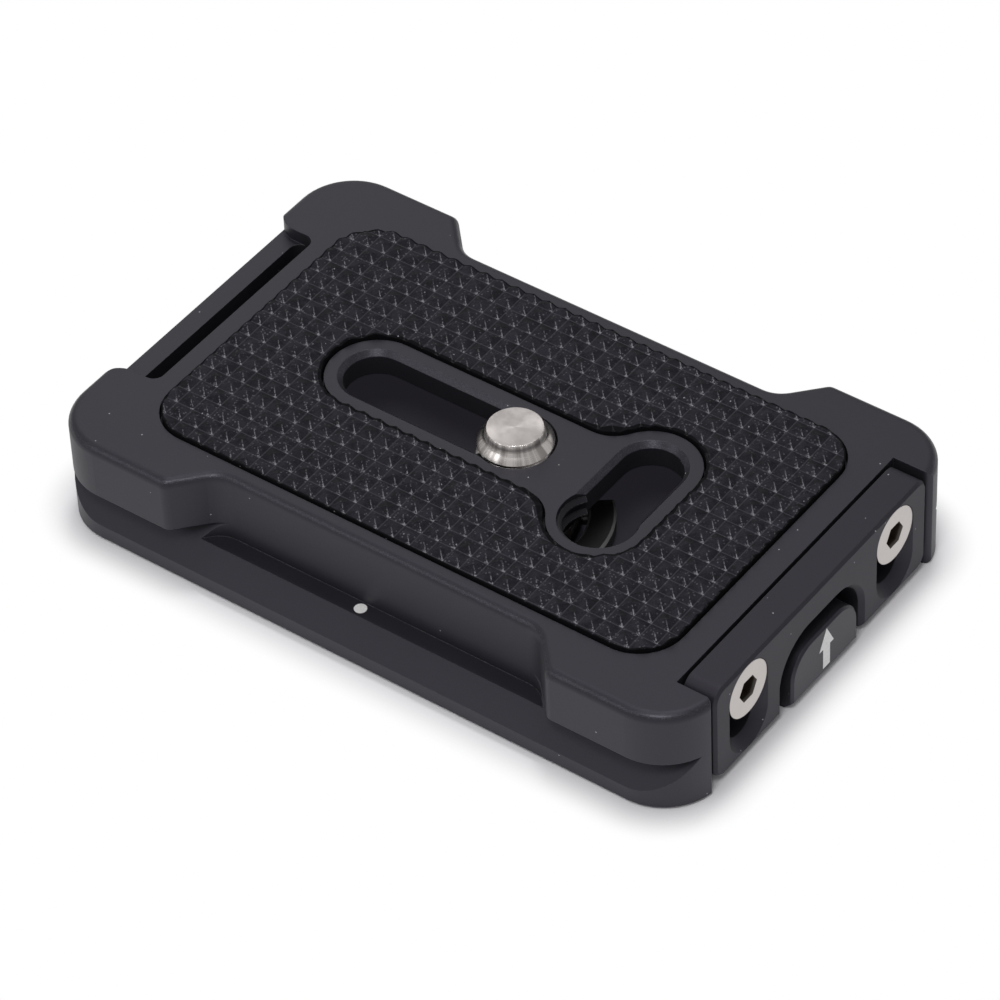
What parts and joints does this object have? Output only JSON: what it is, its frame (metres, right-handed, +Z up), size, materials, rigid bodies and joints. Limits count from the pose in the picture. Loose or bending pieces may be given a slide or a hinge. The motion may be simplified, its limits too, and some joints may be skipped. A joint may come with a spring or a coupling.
{
  "type": "tripod quick release plate",
  "caption": "Slim dovetail plate that screws under a camera and clamps in a tripod head, with a rubber seat, a captive screw with a folding ring, and a sliding stop lip.",
  "frame": {"origin": "middle of the underside", "axes": "+X along the plate to the stop lip, +Y across it, +Z up to the camera"},
  "size_m": [0.0603, 0.0382, 0.0111],
  "materials": {
    "black_anodised": "fine bead-blasted, black anodised, satin",
    "black_anodised_lip": "fine bead-blasted, black anodised, satin",
    "black_rubber": "moulded in small pyramids, dull",
    "stainless": "turned stainless steel, half bright",
    "stainless_screws": "stainless steel, fine grain",
    "nylon": "black nylon"
  },
  "bodies": {
    "base": {"base_plate": "black_anodised", "rubber_pad": "black_rubber", "lip_screw_near": "stainless_screws", "lip_screw_far": "stainless_screws"},
    "lip": {"stop_lip": "black_anodised_lip"},
    "lift": {"screw_washer": "nylon"},
    "screw": {"camera_screw": "stainless"},
    "ring": {"fold_ring": "stainless"}
  },
  "joints": [
    {"name": "lip_slide", "type": "slide", "parent": "base", "child": "lip", "axis": [0, 0, 1], "range_m": [0, 0.0035]},
    {"name": "screw_lift", "type": "slide", "parent": "base", "child": "lift", "axis": [0, 0, 1], "range_m": [0, 0.00381]},
    {"name": "screw_turn", "type": "hinge", "parent": "lift", "child": "screw", "pos_m": [0.00155, 0, 0], "axis": [0, 0, 1], "range_deg": [0, 1080]},
    {"name": "ring_fold", "type": "hinge", "parent": "screw", "child": "ring", "pos_m": [0.00155, 0, 0.0011], "axis": [0.7986, 0.6018, 0], "range_deg": [0, 180]}
  ],
  "couplings": [
    {"joint": "screw_turn", "follows": "screw_lift", "rad_per_m": 4947.4}
  ]
}
